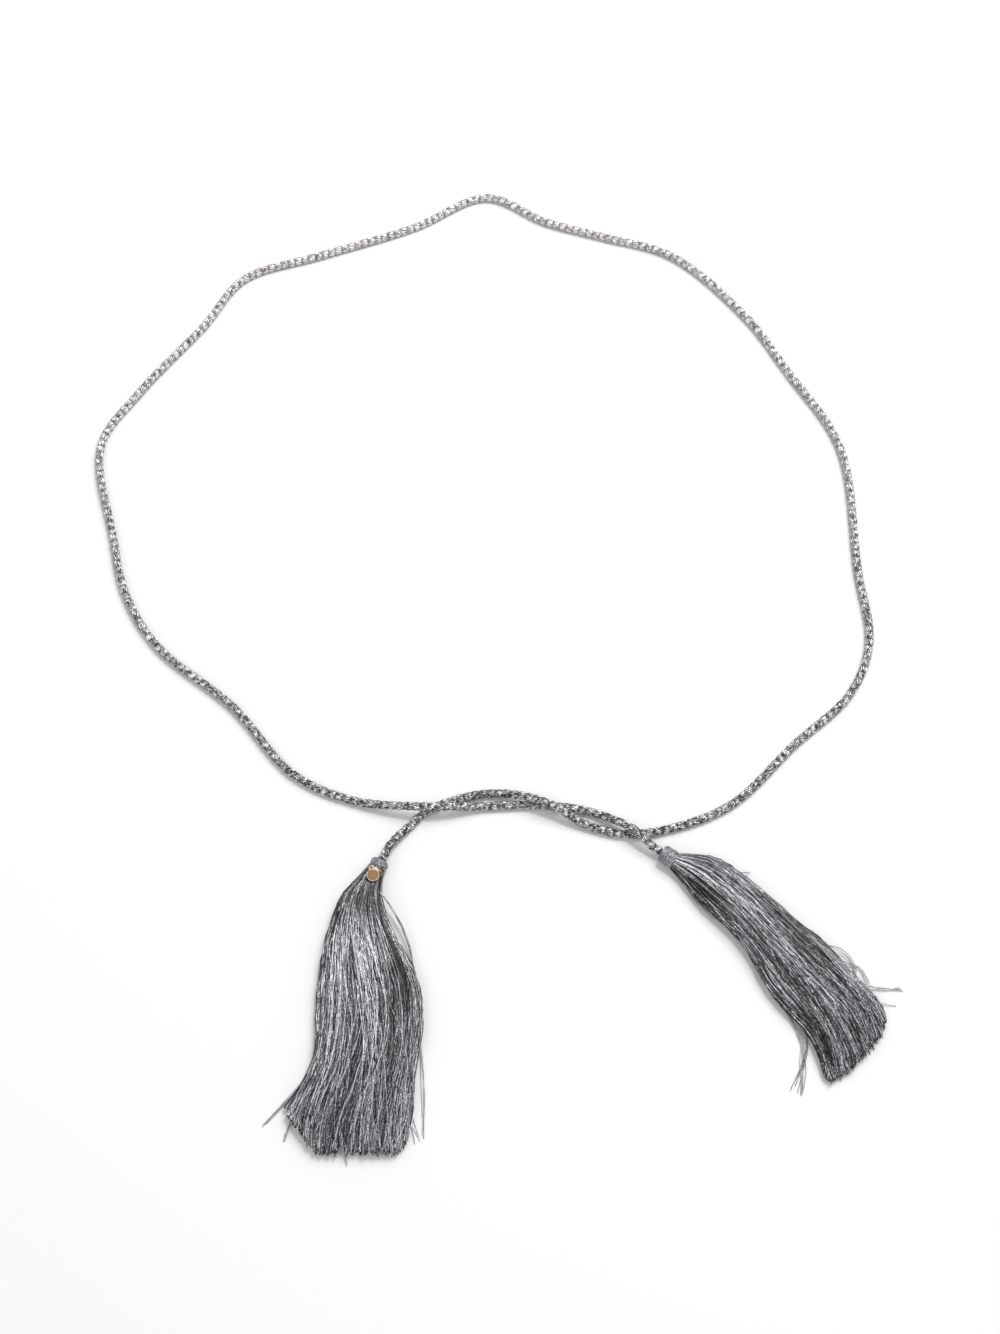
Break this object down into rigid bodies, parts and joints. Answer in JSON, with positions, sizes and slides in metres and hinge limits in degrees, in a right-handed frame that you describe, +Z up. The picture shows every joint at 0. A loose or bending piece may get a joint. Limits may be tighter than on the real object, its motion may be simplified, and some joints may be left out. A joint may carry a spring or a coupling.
{
  "type": "tassel belt",
  "caption": "Slim braided cord belt in silver-grey metallic yarn, laid in a loose loop with its ends twisted together, each ending in a wound head and a long thread tassel.",
  "frame": {"origin": "on the surface the belt lies on, in the middle of the box round both tassels with their heads, band and tag, the cord left out", "axes": "+Z up from the surface, +X along the loop's width to the right tassel's side, +Y from the tassels towards the back of the loop"},
  "size_m": [0.4505, 0.5922, 0.013],
  "materials": {
    "silver_cord": "braided metallic yarn",
    "silver_winding": "satin wound thread",
    "silver_thread": "loose satin thread",
    "tan_metal": "satin"
  },
  "bodies": {
    "root": {"cord": "silver_cord", "tassel_head_left": "silver_winding", "tassel_head_right": "silver_winding", "tassel_skirt_left": "silver_thread", "tassel_skirt_right": "silver_thread", "tag_band": "tan_metal", "tag_disc": "tan_metal"}
  },
  "joints": []
}
